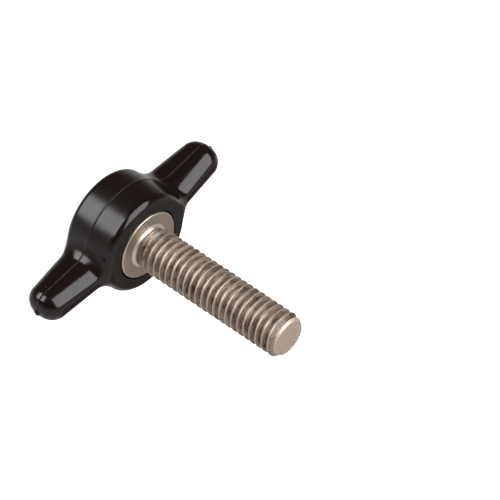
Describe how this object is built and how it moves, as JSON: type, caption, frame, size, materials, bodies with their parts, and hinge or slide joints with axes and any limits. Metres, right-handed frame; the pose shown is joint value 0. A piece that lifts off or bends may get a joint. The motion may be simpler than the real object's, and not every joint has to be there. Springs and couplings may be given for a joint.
{
  "type": "wing screw",
  "caption": "Hand-turned wing screw: a round plastic hub with opposed straight wings, moulded on a flanged stainless stud with a metric thread.",
  "frame": {"origin": "centre of the stud flange's bearing face, on the thread's axis", "axes": "+Z along the stud away from the head, +X along one wing, +Y across the wings"},
  "size_m": [0.0322, 0.0144, 0.0315],
  "materials": {
    "head_plastic": "gloss black moulded plastic, fine leather grain on the flat top face",
    "stud_steel": "cold-headed stainless steel with a rolled thread"
  },
  "bodies": {
    "root": {"wing_head": "head_plastic", "threaded_stud": "stud_steel"}
  },
  "joints": []
}
